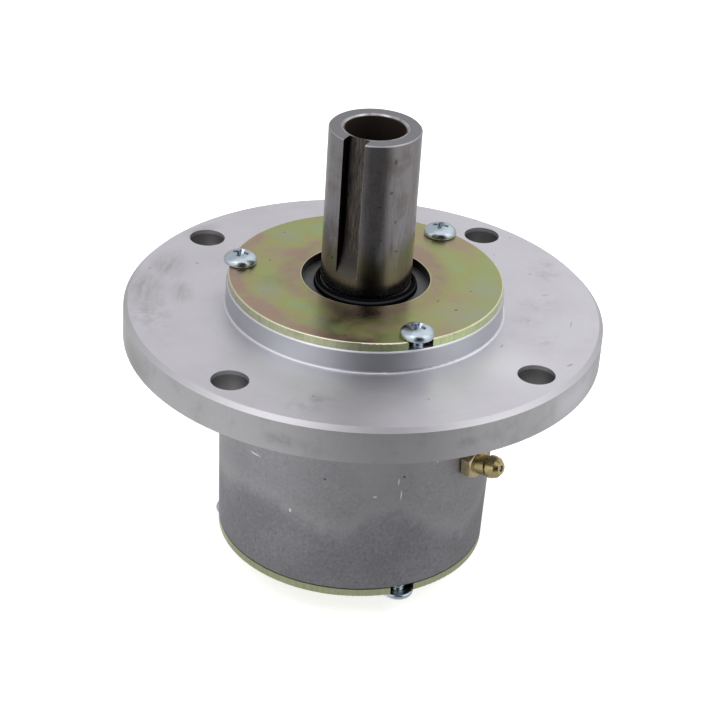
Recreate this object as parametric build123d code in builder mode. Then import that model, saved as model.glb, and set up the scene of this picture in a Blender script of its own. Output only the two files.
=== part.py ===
from build123d import *

import math
import os

# Mower deck spindle: a hollow shaft on two ball bearings in a flanged aluminium housing.
# Sizes are in millimetres and angles in degrees. +Z runs up the shaft to the pulley end,
# and the origin is the centre of the flange's upper face, which bolts to the mower deck.

# Hollow shaft, ground to one inch, with a quarter-inch keyway for the pulley
shaft_radius = 12.7
shaft_bore_radius = 8.33
shaft_above_cover = 45.1
shaft_below_cover = 9.5
shaft_rim_chamfer = 0.35
shaft_mouth_chamfer = 0.55
journal_undercut_depth = 0.25
journal_undercut_width = 0.85
keyway_width = 6.35
keyway_length = 29.2
keyway_floor_wall = 0.79
keyway_cutter_radius = 19.05
keyway_direction = -125.5

# Flange that bolts to the deck
flange_radius = 67.3
flange_thickness = 10.3
flange_chamfer = 1.2
bolt_edge_distance = 9.2
bolt_hole_radius = 5.16
bolt_count = 4
first_bolt_angle = 45.0

# Boss above the flange, and barrel below it with its casting draft
boss_radius = 38.9
boss_height = 6.35
boss_chamfer = 0.4
boss_foot_fillet = 0.6
barrel_root_radius = 40.3
barrel_foot_radius = 38.9
barrel_length = 60.5
barrel_root_fillet = 2.0
barrel_foot_chamfer = 0.4

# Ball bearings, both alike
ball_radius = 3.969
ball_count = 9
bearing_width = 15.0
inner_ring_wall = 2.56
outer_ring_wall = 2.68
groove_depth = 1.9
ring_edge_chamfer = 0.8
cage_height = 7.6
cage_open_side = 2.5

# Shaft seals, both alike: a steel case, a rubber lip and the garter spring round the lip
seal_width = 7.0
seal_case_thickness = 1.0
seal_case_corner_radius = 0.9
seal_lip_width = 1.8
dust_lip_height = 2.15
dust_lip_shoulder_height = 1.5
dust_lip_tip_width = 0.5
dust_lip_tip_drop = 0.65
dust_lip_land = 0.5
lip_relief = 0.6
lip_thickness = 0.9
lip_slope = 1.0
sealing_edge_depth = 3.6
garter_radius = 0.6

# Grease chamber between the bearings, and the sleeve that spaces their inner rings
chamber_step = 2.9
spacer_wall = 3.2

# Retaining rings in shaft grooves, outside the bearings
retaining_ring_thickness = 1.07
retaining_ring_bite = 0.76
retaining_ring_width = 2.85
retaining_ring_gap = 3.4
ring_ear_radius = 1.5
ring_ear_hole_radius = 0.7
upper_ring_gap_angle = 60.0
lower_ring_gap_angle = 240.0

# Cover plates over the seals
cover_thickness = 2.4
cover_hole_radius = 17.95
cover_setback = 0.5
cover_edge_radius = 0.35

# Pan-head cross-recess screws, in notches that are open to the covers' rims
screw_count = 3
screw_radius = 2.4
screw_length = 12.7
screw_point_chamfer = 0.6
screw_head_radius = 4.7
screw_head_height = 3.0
screw_head_side = 0.9
screw_recess_width = 1.1
screw_recess_span = 5.2
screw_recess_depth = 1.7
screw_edge_distance = 3.4
screw_notch_half_width = 3.55
first_screw_angle = 45.0

# Angled grease fitting on the barrel, with its sprung check ball
fitting_angle = -45.0
fitting_drop = 24.4
fitting_hex_flats = 8.7
fitting_hex_length = 3.0
fitting_hex_turn = 5.0
fitting_hex_face_radius = 4.2
fitting_hex_bevel = 60.0
fitting_thread_radius = 3.175
fitting_thread_length = 7.0
fitting_passage_radius = 0.7
elbow_radius = 2.9
elbow_length = 0.8
nipple_turn = 2.0
nipple_rise = 10.5
nipple_collar_length = 2.3
nipple_neck_radius = 2.25
nipple_neck_length = 0.9
nipple_head_radius = 3.25
nipple_head_length = 0.9
nipple_shoulder_radius = 2.8
nipple_shoulder_length = 1.45
nipple_nose_radius = 1.75
nipple_nose_length = 1.05
nipple_bore_radius = 1.25
mouth_radius = 0.9
mouth_depth = 0.6
check_ball_radius = 1.0
check_spring_radius = 0.8
check_spring_wire_radius = 0.15
check_spring_turns = 4

# Clearances
running_clearance = 0.05
seat_clearance = 0.02
cage_clearance = 0.7
blind_hole_clearance = 1.5
level_tolerance = 0.001

# Levels along the axis
top_face = boss_height
bottom_face = -flange_thickness - barrel_length
upper_cover_top = top_face + cover_thickness
lower_cover_bottom = bottom_face - cover_thickness
shaft_top = upper_cover_top + shaft_above_cover
shaft_bottom = lower_cover_bottom - shaft_below_cover
upper_bearing_top = top_face - seal_width
upper_shoulder = upper_bearing_top - bearing_width
lower_bearing_bottom = bottom_face + seal_width
lower_shoulder = lower_bearing_bottom + bearing_width

# Radii out from the shaft's axis, each built on the one before
inner_ring_bore = shaft_radius + seat_clearance
inner_groove_radius = inner_ring_bore + inner_ring_wall
inner_land_radius = inner_groove_radius + groove_depth
pitch_radius = inner_groove_radius + running_clearance + ball_radius
outer_groove_radius = pitch_radius + ball_radius + running_clearance
outer_land_radius = outer_groove_radius - groove_depth
bearing_radius = outer_groove_radius + outer_ring_wall
seat_radius = bearing_radius + seat_clearance
chamber_radius = seat_radius - chamber_step
upper_screw_circle = boss_radius - screw_edge_distance
lower_screw_circle = barrel_foot_radius - screw_edge_distance
bolt_circle_radius = flange_radius - bolt_edge_distance

# Grease fitting's seat on the sloping barrel, and the bent axis of its nipple
fitting_height = -flange_thickness - fitting_drop
fitting_hex_corner = fitting_hex_flats / 2 / math.cos(math.pi / 6)
barrel_slope = (barrel_root_radius - barrel_foot_radius) / barrel_length
barrel_radius_at_hex = max(
    barrel_root_radius - barrel_slope * (fitting_drop - fitting_hex_corner),
    barrel_root_radius - barrel_slope * (fitting_drop + fitting_hex_corner),
)
fitting_seat_radius = barrel_radius_at_hex + seat_clearance
fitting_turn = math.radians(fitting_angle)
fitting_outward = Vector(math.cos(fitting_turn), math.sin(fitting_turn), 0)
fitting_seat = fitting_outward * fitting_seat_radius + Vector(0, 0, fitting_height)
fitting_plane = Plane(origin=fitting_seat, x_dir=(0, 0, 1), z_dir=fitting_outward)
nipple_azimuth = math.radians(fitting_angle + nipple_turn)
nipple_elevation = math.radians(nipple_rise)
nipple_direction = Vector(
    math.cos(nipple_azimuth) * math.cos(nipple_elevation),
    math.sin(nipple_azimuth) * math.cos(nipple_elevation),
    math.sin(nipple_elevation),
)
nipple_root = fitting_seat + fitting_outward * (fitting_hex_length + elbow_length)
nipple_plane = Plane(origin=nipple_root, z_dir=nipple_direction)

os.makedirs("parts", exist_ok=True)


def finish(piece, name):
    """Labels a finished piece and writes it to its own file."""
    piece.part.label = name
    export_step(piece.part, f"parts/{name}.step")


def ring_edges(piece, radius, level):
    """The round edges about the shaft's axis that have this radius and lie at this level."""
    round_edges = piece.edges().filter_by(GeomType.CIRCLE)
    at_level = round_edges.filter_by(lambda edge: abs(edge.arc_center.Z - level) < level_tolerance)
    return at_level.filter_by(lambda edge: abs(edge.radius - radius) < level_tolerance)


# Spindle housing: one aluminium casting with machined faces and bores.
# Its half section is revolved, then it is drilled for bolts, screws and the grease fitting.
screw_hole_depth = screw_length - cover_thickness + blind_hole_clearance
tapped_hole_depth = fitting_thread_length + blind_hole_clearance

with BuildPart() as spindle_housing:
    with BuildSketch(Plane.XZ):
        with BuildLine():
            Polyline(
                (seat_radius, top_face),
                (boss_radius, top_face),
                (boss_radius, 0),
                (flange_radius, 0),
                (flange_radius, -flange_thickness),
                (barrel_root_radius, -flange_thickness),
                (barrel_foot_radius, bottom_face),
                (seat_radius, bottom_face),
                (seat_radius, lower_shoulder),
                (chamber_radius, lower_shoulder),
                (chamber_radius, upper_shoulder),
                (seat_radius, upper_shoulder),
                close=True,
            )
        make_face()
    revolve(axis=Axis.Z)
    fillet(ring_edges(spindle_housing, boss_radius, 0), radius=boss_foot_fillet)
    fillet(ring_edges(spindle_housing, barrel_root_radius, -flange_thickness), radius=barrel_root_fillet)
    chamfer(ring_edges(spindle_housing, boss_radius, top_face), length=boss_chamfer)
    chamfer(ring_edges(spindle_housing, flange_radius, 0), length=flange_chamfer)
    chamfer(ring_edges(spindle_housing, barrel_foot_radius, bottom_face), length=barrel_foot_chamfer)

    with BuildSketch():
        with PolarLocations(bolt_circle_radius, bolt_count, first_bolt_angle):
            Circle(bolt_hole_radius)
    extrude(amount=-flange_thickness, mode=Mode.SUBTRACT)

    with BuildSketch(Plane.XY.offset(top_face)):
        with PolarLocations(upper_screw_circle, screw_count, first_screw_angle):
            Circle(screw_radius + seat_clearance)
    extrude(amount=-screw_hole_depth, mode=Mode.SUBTRACT)
    with BuildSketch(Plane.XY.offset(bottom_face)):
        with PolarLocations(lower_screw_circle, screw_count, first_screw_angle):
            Circle(screw_radius + seat_clearance)
    extrude(amount=screw_hole_depth, mode=Mode.SUBTRACT)

    with BuildSketch(fitting_plane):
        Circle(fitting_thread_radius + seat_clearance)
    extrude(amount=-tapped_hole_depth, mode=Mode.SUBTRACT)
    with BuildSketch(fitting_plane):
        Circle(nipple_bore_radius)
    extrude(amount=chamber_radius - chamber_step - fitting_seat_radius, mode=Mode.SUBTRACT)
finish(spindle_housing, "spindle_housing")


# Spindle shaft: a ground steel tube. The keyway is open at the top and runs out to the
# surface on the arc of its cutter. A groove outside each bearing holds a retaining ring,
# and a shallow undercut inside the upper cover ends the journal that is ground for the pulley.
def groove_section(bottom, width, depth):
    """The section of a groove round the shaft, from its bottom level up."""
    with Locations((shaft_radius - depth, bottom)):
        Rectangle(shaft_radius, width, align=(Align.MIN, Align.MIN))


upper_ring_level = upper_bearing_top
lower_ring_level = lower_bearing_bottom - retaining_ring_thickness
ring_groove_width = retaining_ring_thickness + 2 * seat_clearance
keyway_floor = shaft_bore_radius + keyway_floor_wall
keyway_floor_end = shaft_top - keyway_length
keyway_reach = shaft_radius + blind_hole_clearance
keyway_rise = keyway_cutter_radius - (keyway_reach - keyway_floor)
keyway_end = keyway_floor_end - math.sqrt(keyway_cutter_radius**2 - keyway_rise**2)

with BuildPart() as spindle_shaft:
    with BuildSketch(Plane.XY.offset(shaft_bottom)):
        Circle(shaft_radius)
        Circle(shaft_bore_radius, mode=Mode.SUBTRACT)
    extrude(amount=shaft_top - shaft_bottom)
    for end_level in (shaft_top, shaft_bottom):
        chamfer(ring_edges(spindle_shaft, shaft_radius, end_level), length=shaft_rim_chamfer)
        chamfer(ring_edges(spindle_shaft, shaft_bore_radius, end_level), length=shaft_mouth_chamfer)
    with BuildSketch(Plane.XZ):
        groove_section(upper_ring_level - seat_clearance, ring_groove_width, retaining_ring_bite)
        groove_section(lower_ring_level - seat_clearance, ring_groove_width, retaining_ring_bite)
        undercut_bottom = upper_cover_top - journal_undercut_width
        groove_section(undercut_bottom, journal_undercut_width, journal_undercut_depth)
    revolve(axis=Axis.Z, mode=Mode.SUBTRACT)
    with BuildSketch(Plane.XZ.rotated((0, 0, keyway_direction))):
        with BuildLine():
            keyway_bottom = Line((keyway_floor, shaft_top), (keyway_floor, keyway_floor_end))
            TangentArc(keyway_bottom @ 1, (keyway_reach, keyway_end), tangent=keyway_bottom % 1)
            Polyline((keyway_reach, keyway_end), (keyway_reach, shaft_top), keyway_bottom @ 0)
        make_face()
    extrude(amount=keyway_width / 2, both=True, mode=Mode.SUBTRACT)
finish(spindle_shaft, "spindle_shaft")


# Ball bearings: a grooved inner and outer ring, nine balls and a snap-in cage each.
# The raceways have the balls' own section with a running clearance.
def make_bearing(end_name, bearing_bottom):
    """Writes the four kinds of piece of one bearing that stands on this level."""
    ball_level = bearing_bottom + bearing_width / 2
    ball_plane = Plane.XY.offset(ball_level)

    with BuildPart() as outer_ring:
        with BuildSketch(Plane.XZ) as outer_section:
            with Locations((outer_land_radius, ball_level)):
                ring_wall = bearing_radius - outer_land_radius
                Rectangle(ring_wall, bearing_width, align=(Align.MIN, Align.CENTER))
            chamfer(outer_section.vertices().group_by(Axis.X)[-1], length=ring_edge_chamfer)
            with Locations((pitch_radius, ball_level)):
                Circle(ball_radius + running_clearance, mode=Mode.SUBTRACT)
        revolve(axis=Axis.Z)
    finish(outer_ring, f"{end_name}_bearing_outer_ring")

    with BuildPart() as inner_ring:
        with BuildSketch(Plane.XZ) as inner_section:
            with Locations((inner_ring_bore, ball_level)):
                ring_wall = inner_land_radius - inner_ring_bore
                Rectangle(ring_wall, bearing_width, align=(Align.MIN, Align.CENTER))
            chamfer(inner_section.vertices().group_by(Axis.X)[0], length=ring_edge_chamfer)
            with Locations((pitch_radius, ball_level)):
                Circle(ball_radius + running_clearance, mode=Mode.SUBTRACT)
        revolve(axis=Axis.Z)
    finish(inner_ring, f"{end_name}_bearing_inner_ring")

    with BuildPart(ball_plane) as balls:
        with PolarLocations(pitch_radius, ball_count):
            Sphere(ball_radius)
    finish(balls, f"{end_name}_bearing_balls")

    with BuildPart(ball_plane) as cage:
        with BuildSketch(ball_plane.offset(cage_open_side)):
            Circle(outer_land_radius - cage_clearance)
            Circle(inner_land_radius + cage_clearance, mode=Mode.SUBTRACT)
        extrude(amount=-cage_height)
        with PolarLocations(pitch_radius, ball_count):
            Sphere(ball_radius + running_clearance, mode=Mode.SUBTRACT)
    finish(cage, f"{end_name}_bearing_cage")


make_bearing("upper", upper_shoulder)
make_bearing("lower", lower_bearing_bottom)


# Bearing spacer: a steel sleeve on the shaft that holds the two inner rings apart.
with BuildPart() as bearing_spacer:
    with BuildSketch(Plane.XY.offset(lower_shoulder)):
        Circle(inner_ring_bore + spacer_wall)
        Circle(inner_ring_bore, mode=Mode.SUBTRACT)
    extrude(amount=upper_shoulder - lower_shoulder)
finish(bearing_spacer, "bearing_spacer")


# Retaining rings: stamped spring-steel circlips with two pierced ears beside the gap.
def make_retaining_ring(end_name, ring_bottom, gap_angle):
    """Writes the circlip that lies on this level with its gap facing this angle."""
    ring_inner_radius = shaft_radius - retaining_ring_bite + seat_clearance
    ring_outer_radius = ring_inner_radius + retaining_ring_width
    ear_offset = retaining_ring_gap / 2 + ring_ear_radius
    ear_places = [(ring_outer_radius, ear_offset), (ring_outer_radius, -ear_offset)]
    with BuildPart() as retaining_ring:
        with BuildSketch(Plane.XY.offset(ring_bottom).rotated((0, 0, gap_angle))):
            Circle(ring_outer_radius)
            with Locations(ear_places):
                Circle(ring_ear_radius)
                Circle(ring_ear_hole_radius, mode=Mode.SUBTRACT)
            Circle(ring_inner_radius, mode=Mode.SUBTRACT)
            Rectangle(
                2 * ring_outer_radius,
                retaining_ring_gap,
                align=(Align.MIN, Align.CENTER),
                mode=Mode.SUBTRACT,
            )
        extrude(amount=retaining_ring_thickness)
    finish(retaining_ring, f"{end_name}_retaining_ring")


make_retaining_ring("upper", upper_ring_level, upper_ring_gap_angle)
make_retaining_ring("lower", lower_ring_level, lower_ring_gap_angle)


# Shaft seals: a pressed steel case flush with the housing's end, a rubber lip bonded
# inside its face, with a dust lip outside, and a garter spring that hugs the sealing lip.
def make_seal(end_name, face_level, outward):
    """Writes the pieces of one seal, whose outer face is at this level and faces up for 1, down for -1."""
    lip_bore_radius = shaft_radius + running_clearance
    lip_root_radius = lip_bore_radius + seal_lip_width
    lip_waist_radius = lip_bore_radius + lip_relief
    lip_back_radius = lip_waist_radius + lip_thickness
    shoulder_radius = lip_root_radius - lip_relief
    tip_radius = lip_bore_radius + dust_lip_tip_width
    dust_lip_touch = dust_lip_tip_drop - dust_lip_height
    garter_ring_radius = lip_back_radius + garter_radius / 2

    def at(radius, depth):
        """A point of the section at this radius and this depth inside the outer face."""
        return (radius, face_level - outward * depth)

    with BuildPart() as seal_case:
        with BuildSketch(Plane.XZ) as case_section:
            with BuildLine():
                Polyline(
                    at(bearing_radius, 0),
                    at(lip_root_radius, 0),
                    at(lip_root_radius, seal_case_thickness),
                    at(bearing_radius - seal_case_thickness, seal_case_thickness),
                    at(bearing_radius - seal_case_thickness, seal_width),
                    at(bearing_radius, seal_width),
                    close=True,
                )
            make_face()
            outer_corners = case_section.vertices().group_by(Axis.X)[-1].sort_by(Axis.Y)
            face_corner = outer_corners[-1] if outward > 0 else outer_corners[0]
            fillet(face_corner, radius=seal_case_corner_radius)
        revolve(axis=Axis.Z)
    finish(seal_case, f"{end_name}_seal_case")

    with BuildPart() as seal_lip:
        with BuildSketch(Plane.XZ):
            with BuildLine():
                dust_lip = ThreePointArc(
                    at(lip_root_radius, 0),
                    at(shoulder_radius, -dust_lip_shoulder_height),
                    at(tip_radius, -dust_lip_height),
                )
                Polyline(
                    dust_lip @ 1,
                    at(lip_bore_radius, dust_lip_touch),
                    at(lip_bore_radius, dust_lip_touch + dust_lip_land),
                    at(lip_waist_radius, dust_lip_touch + dust_lip_land + lip_slope),
                    at(lip_waist_radius, sealing_edge_depth - lip_slope),
                    at(lip_bore_radius, sealing_edge_depth),
                    at(lip_waist_radius, sealing_edge_depth + lip_slope),
                    at(lip_back_radius, sealing_edge_depth + lip_slope),
                    at(lip_back_radius, seal_case_thickness),
                    at(lip_root_radius, seal_case_thickness),
                    dust_lip @ 0,
                )
            make_face()
            with Locations(at(garter_ring_radius, sealing_edge_depth)):
                Circle(garter_radius + seat_clearance, mode=Mode.SUBTRACT)
        revolve(axis=Axis.Z)
    finish(seal_lip, f"{end_name}_seal_lip")

    with BuildPart() as garter_spring:
        with BuildSketch(Plane.XZ):
            with Locations(at(garter_ring_radius, sealing_edge_depth)):
                Circle(garter_radius)
        revolve(axis=Axis.Z)
    finish(garter_spring, f"{end_name}_seal_garter_spring")


make_seal("upper", top_face, 1)
make_seal("lower", bottom_face, -1)


# Cover plates: stamped, zinc-plated steel discs that hold the seals in.
# Each has a round window for the shaft and three notches that its screws slide into.
def make_cover(end_name, cover_radius, cover_bottom, outer_level, screw_circle):
    """Writes one cover, rounded by the punch on the rim at its outer level."""
    with BuildPart() as cover:
        with BuildSketch(Plane.XY.offset(cover_bottom)):
            Circle(cover_radius)
            Circle(cover_hole_radius, mode=Mode.SUBTRACT)
            with PolarLocations(screw_circle, screw_count, first_screw_angle):
                Circle(screw_notch_half_width, mode=Mode.SUBTRACT)
                Rectangle(
                    cover_radius,
                    2 * screw_notch_half_width,
                    align=(Align.MIN, Align.CENTER),
                    mode=Mode.SUBTRACT,
                )
        extrude(amount=cover_thickness)
        fillet(ring_edges(cover, cover_radius, outer_level), radius=cover_edge_radius)
    finish(cover, f"{end_name}_cover_plate")


upper_cover_radius = boss_radius - cover_setback
make_cover("upper", upper_cover_radius, top_face, upper_cover_top, upper_screw_circle)
make_cover("lower", barrel_foot_radius, lower_cover_bottom, lower_cover_bottom, lower_screw_circle)


# Cover screws: zinc-plated machine screws, three to each cover, with a cross recess.
# One screw is turned standing on its point, and copied round each cover.
with BuildPart() as cover_screw:
    with BuildSketch(Plane.XZ):
        with BuildLine():
            head_crown = EllipticalCenterArc(
                (0, screw_head_side),
                screw_head_radius,
                screw_head_height - screw_head_side,
                start_angle=0,
                arc_size=90,
            )
            Polyline(
                head_crown @ 1,
                (0, -screw_length),
                (screw_radius - screw_point_chamfer, -screw_length),
                (screw_radius, screw_point_chamfer - screw_length),
                (screw_radius, 0),
                (screw_head_radius, 0),
                head_crown @ 0,
            )
        make_face()
    revolve(axis=Axis.Z)
    with BuildSketch(Plane.XY.offset(screw_head_height)):
        Rectangle(screw_recess_span, screw_recess_width)
        Rectangle(screw_recess_width, screw_recess_span)
    extrude(amount=-screw_recess_depth, mode=Mode.SUBTRACT)

with BuildPart(Plane.XY.offset(upper_cover_top)) as upper_cover_screws:
    with PolarLocations(upper_screw_circle, screw_count, first_screw_angle):
        add(cover_screw.part)
finish(upper_cover_screws, "upper_cover_screws")

with BuildPart(Plane((0, 0, lower_cover_bottom), x_dir=(1, 0, 0), z_dir=(0, 0, -1))) as lower_cover_screws:
    with PolarLocations(lower_screw_circle, screw_count, -first_screw_angle):
        add(cover_screw.part)
finish(lower_cover_screws, "lower_cover_screws")


# Grease fitting's base: a brass hexagon on a threaded shank, with an angled socket
# in its outer end for the nipple and a narrow passage through it. The lathe has bevelled
# the hexagon's outer corners on a cone.
hex_bevel_spread = fitting_hex_length * math.tan(math.radians(fitting_hex_bevel))

with BuildPart(fitting_plane) as fitting_hexagon:
    with BuildSketch(fitting_plane):
        RegularPolygon(fitting_hex_flats / 2, side_count=6, major_radius=False, rotation=fitting_hex_turn)
    extrude(amount=fitting_hex_length)
    Cone(
        fitting_hex_face_radius + hex_bevel_spread,
        fitting_hex_face_radius,
        fitting_hex_length,
        align=(Align.CENTER, Align.CENTER, Align.MIN),
        mode=Mode.INTERSECT,
    )

with BuildPart() as grease_fitting_base:
    with BuildSketch(fitting_plane):
        Circle(elbow_radius)
    extrude(amount=fitting_hex_length + 2 * elbow_length)
    split(bisect_by=nipple_plane, keep=Keep.BOTTOM)
    add(fitting_hexagon.part)
    with BuildSketch(fitting_plane):
        Circle(fitting_thread_radius)
    extrude(amount=-fitting_thread_length)
    with BuildSketch(fitting_plane.offset(-fitting_thread_length)):
        Circle(fitting_passage_radius)
    extrude(amount=fitting_thread_length + fitting_hex_length + 2 * elbow_length, mode=Mode.SUBTRACT)
finish(grease_fitting_base, "grease_fitting_base")


# Grease nipple: a turned brass collar, neck and head, bored for the check ball and its spring.
# Its half section is turned about the nipple's own axis; Y runs out along that axis.
nipple_side = Vector(0, 0, 1).cross(nipple_direction).normalized()
nipple_section_plane = Plane(
    origin=nipple_root, x_dir=nipple_side, z_dir=nipple_side.cross(nipple_direction)
)
nipple_axis = Axis(nipple_root, nipple_direction)
head_start = nipple_collar_length + nipple_neck_length
head_end = head_start + nipple_head_length
shoulder_end = head_end + nipple_shoulder_length
nose_end = shoulder_end + nipple_nose_length
ball_seat = nose_end - mouth_depth
ball_sink = math.sqrt(check_ball_radius**2 - mouth_radius**2)
ball_distance = ball_seat - ball_sink - running_clearance

with BuildPart() as grease_fitting_nipple:
    with BuildSketch(nipple_section_plane):
        with BuildLine():
            Polyline(
                (nipple_bore_radius, 0),
                (elbow_radius, 0),
                (elbow_radius, nipple_collar_length),
                (nipple_neck_radius, nipple_collar_length),
                (nipple_neck_radius, head_start),
                (nipple_head_radius, head_start),
                (nipple_head_radius, head_end),
                (nipple_shoulder_radius, shoulder_end),
                (nipple_nose_radius, nose_end),
                (mouth_radius, nose_end),
                (mouth_radius, ball_seat),
                (nipple_bore_radius, ball_seat),
                close=True,
            )
        make_face()
    revolve(axis=nipple_axis)
finish(grease_fitting_nipple, "grease_fitting_nipple")

with BuildPart(nipple_plane.offset(ball_distance)) as grease_check_ball:
    Sphere(check_ball_radius)
finish(grease_check_ball, "grease_check_ball")


# Check spring: a fine wire coil between the fitting's base and the ball.
wire_reach = check_ball_radius + check_spring_wire_radius + seat_clearance
spring_foot = check_spring_wire_radius + seat_clearance
spring_top = ball_distance - math.sqrt(wire_reach**2 - check_spring_radius**2)
spring_length = spring_top - spring_foot

with BuildPart() as grease_check_spring:
    with BuildLine() as spring_coil:
        Helix(
            pitch=spring_length / check_spring_turns,
            height=spring_length,
            radius=check_spring_radius,
            center=nipple_root + nipple_direction * spring_foot,
            direction=nipple_direction,
        )
    with BuildSketch(Plane(origin=spring_coil.line @ 0, z_dir=spring_coil.line % 0)):
        Circle(check_spring_wire_radius)
    sweep(is_frenet=True)
finish(grease_check_spring, "grease_check_spring")
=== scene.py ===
import math

import bmesh
import bpy
from mathutils import Matrix, Vector


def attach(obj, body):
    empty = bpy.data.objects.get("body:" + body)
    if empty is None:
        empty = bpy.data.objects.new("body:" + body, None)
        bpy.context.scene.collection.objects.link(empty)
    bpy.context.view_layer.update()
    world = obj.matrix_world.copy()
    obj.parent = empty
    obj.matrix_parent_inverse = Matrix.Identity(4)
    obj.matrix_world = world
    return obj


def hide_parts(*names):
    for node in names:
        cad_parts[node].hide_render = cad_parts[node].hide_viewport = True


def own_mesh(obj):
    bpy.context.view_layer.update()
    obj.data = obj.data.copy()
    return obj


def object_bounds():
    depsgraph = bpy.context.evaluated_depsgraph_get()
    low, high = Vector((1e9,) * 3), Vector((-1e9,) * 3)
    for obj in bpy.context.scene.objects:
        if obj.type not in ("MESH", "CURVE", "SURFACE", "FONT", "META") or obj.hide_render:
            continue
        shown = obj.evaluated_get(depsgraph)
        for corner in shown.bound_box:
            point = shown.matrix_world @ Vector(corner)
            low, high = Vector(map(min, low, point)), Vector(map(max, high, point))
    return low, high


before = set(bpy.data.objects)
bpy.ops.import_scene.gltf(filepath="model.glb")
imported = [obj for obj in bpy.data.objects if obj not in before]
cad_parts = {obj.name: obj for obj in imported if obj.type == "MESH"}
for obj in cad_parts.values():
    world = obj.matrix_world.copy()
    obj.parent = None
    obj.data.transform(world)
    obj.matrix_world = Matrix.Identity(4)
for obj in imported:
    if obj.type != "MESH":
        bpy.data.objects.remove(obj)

cad_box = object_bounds()


# The camera looks down on the spindle from a little left of the front, through a long lens.
# It is tipped about its own line of sight, as a hand-held camera is, so the shaft leans right.
camera_lens = 109.5
camera_distance = 0.6148
camera_nearest = 0.01
camera_azimuth = math.radians(-9.453)
camera_elevation = math.radians(29.95)
camera_roll = math.radians(3.806)
camera_aim = Vector((-0.0014, -0.0079, -0.0139))

camera = bpy.data.objects.new("camera", bpy.data.cameras.new("camera"))
camera.data.lens = camera_lens
camera.data.clip_start = camera_nearest
camera_turn = (
    Matrix.Rotation(camera_azimuth, 4, "Z")
    @ Matrix.Rotation(math.pi / 2 - camera_elevation, 4, "X")
    @ Matrix.Rotation(camera_roll, 4, "Z")
)
camera_draw_back = Matrix.Translation((0, 0, camera_distance))
camera.matrix_world = Matrix.Translation(camera_aim) @ camera_turn @ camera_draw_back
bpy.context.collection.objects.link(camera)
bpy.context.scene.camera = camera
bpy.context.scene.view_settings.view_transform = "Standard"


# The floor is a plain pale table, and the room round it is as pale. Both show as white to the
# camera and in the metal, while the floor keeps the soft shadow of the spindle.
floor_radius = 4.0
floor_sides = 96
floor_paint = (0.50, 0.50, 0.50, 1)
floor_roughness = 0.9
floor_lift = 0.72
room_level = 0.60
white = (1, 1, 1, 1)

floor_mesh = bpy.data.meshes.new("floor")
floor_form = bmesh.new()
bmesh.ops.create_circle(floor_form, cap_ends=True, segments=floor_sides, radius=floor_radius)
floor_form.to_mesh(floor_mesh)
floor_form.free()
floor = bpy.data.objects.new("floor", floor_mesh)
floor.location.z = cad_box[0][2]
bpy.context.collection.objects.link(floor)


def seen_or_mirrored(nodes, links):
    """A socket that is 1 for what the camera sees, straight or in metal or glass, and otherwise 0."""
    light_path = nodes.new("ShaderNodeLightPath")
    seen = light_path.outputs["Is Camera Ray"]
    for name in ("Is Glossy Ray", "Is Transmission Ray"):
        either = nodes.new("ShaderNodeMath")
        either.operation = "MAXIMUM"
        links.new(seen, either.inputs[0])
        links.new(light_path.outputs[name], either.inputs[1])
        seen = either.outputs[0]
    return seen


floor_finish = bpy.data.materials.new("floor_paint")
floor_finish.use_nodes = True
floor_nodes, floor_links = floor_finish.node_tree.nodes, floor_finish.node_tree.links
floor_shader = floor_nodes["Principled BSDF"]
floor_shader.inputs["Base Color"].default_value = floor_paint
floor_shader.inputs["Roughness"].default_value = floor_roughness
floor_shader.inputs["Specular IOR Level"].default_value = 0.0
floor_shader.inputs["Emission Color"].default_value = white
lift = floor_nodes.new("ShaderNodeMath")
lift.operation = "MULTIPLY"
lift.inputs[1].default_value = floor_lift
floor_links.new(seen_or_mirrored(floor_nodes, floor_links), lift.inputs[0])
floor_links.new(lift.outputs[0], floor_shader.inputs["Emission Strength"])
floor_mesh.materials.append(floor_finish)

room = bpy.data.worlds.new("room")
bpy.context.scene.world = room
room.use_nodes = True
room_nodes, room_links = room.node_tree.nodes, room.node_tree.links
room_light = room_nodes["Background"]
room_light.inputs["Color"].default_value = white
room_strength = room_nodes.new("ShaderNodeMapRange")
room_strength.inputs["To Min"].default_value = room_level
room_strength.inputs["To Max"].default_value = 1.0
room_links.new(seen_or_mirrored(room_nodes, room_links), room_strength.inputs["Value"])
room_links.new(room_strength.outputs["Result"], room_light.inputs["Strength"])


# Two large softboxes stand high on the left and right of the camera, and a third hangs over the
# spindle. They light the floor and whatever isn't metal.
softboxes = {
    "softbox_left": (-50, 58, 1.3, 0.9, 9.0),
    "softbox_right": (55, 55, 1.3, 0.9, 10.0),
    "softbox_top": (170, 82, 1.3, 1.0, 9.0),
}
for name, (azimuth, elevation, distance, size, power) in softboxes.items():
    lamp = bpy.data.objects.new(name, bpy.data.lights.new(name, "AREA"))
    lamp.data.shape = "SQUARE"
    lamp.data.size = size
    lamp.data.energy = power
    lamp.visible_glossy = False
    swing = Matrix.Rotation(camera_azimuth + math.radians(azimuth), 4, "Z")
    swing = swing @ Matrix.Rotation(math.radians(90 - elevation), 4, "X")
    lamp.matrix_world = swing @ Matrix.Translation((0, 0, distance))
    bpy.context.collection.objects.link(lamp)


# Metal shows little but what it mirrors, so a dome and a card on the floor stand in for the
# studio, and only glossy things mirror them. They are dark where the photographer stands, and
# bright where the softboxes are.
dome_radius = 1.5
dome_level = 1.12
floor_card_level = 0.88
floor_card_reach = (42, 60, 80, 100, 120, 140, 160, 175, 185, 195, 210, 240, 300, 500, 900, 1500)
card_lift = 0.001
mm_per_metre = 1000
azimuth_step = 5
elevation_step = 4

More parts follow.
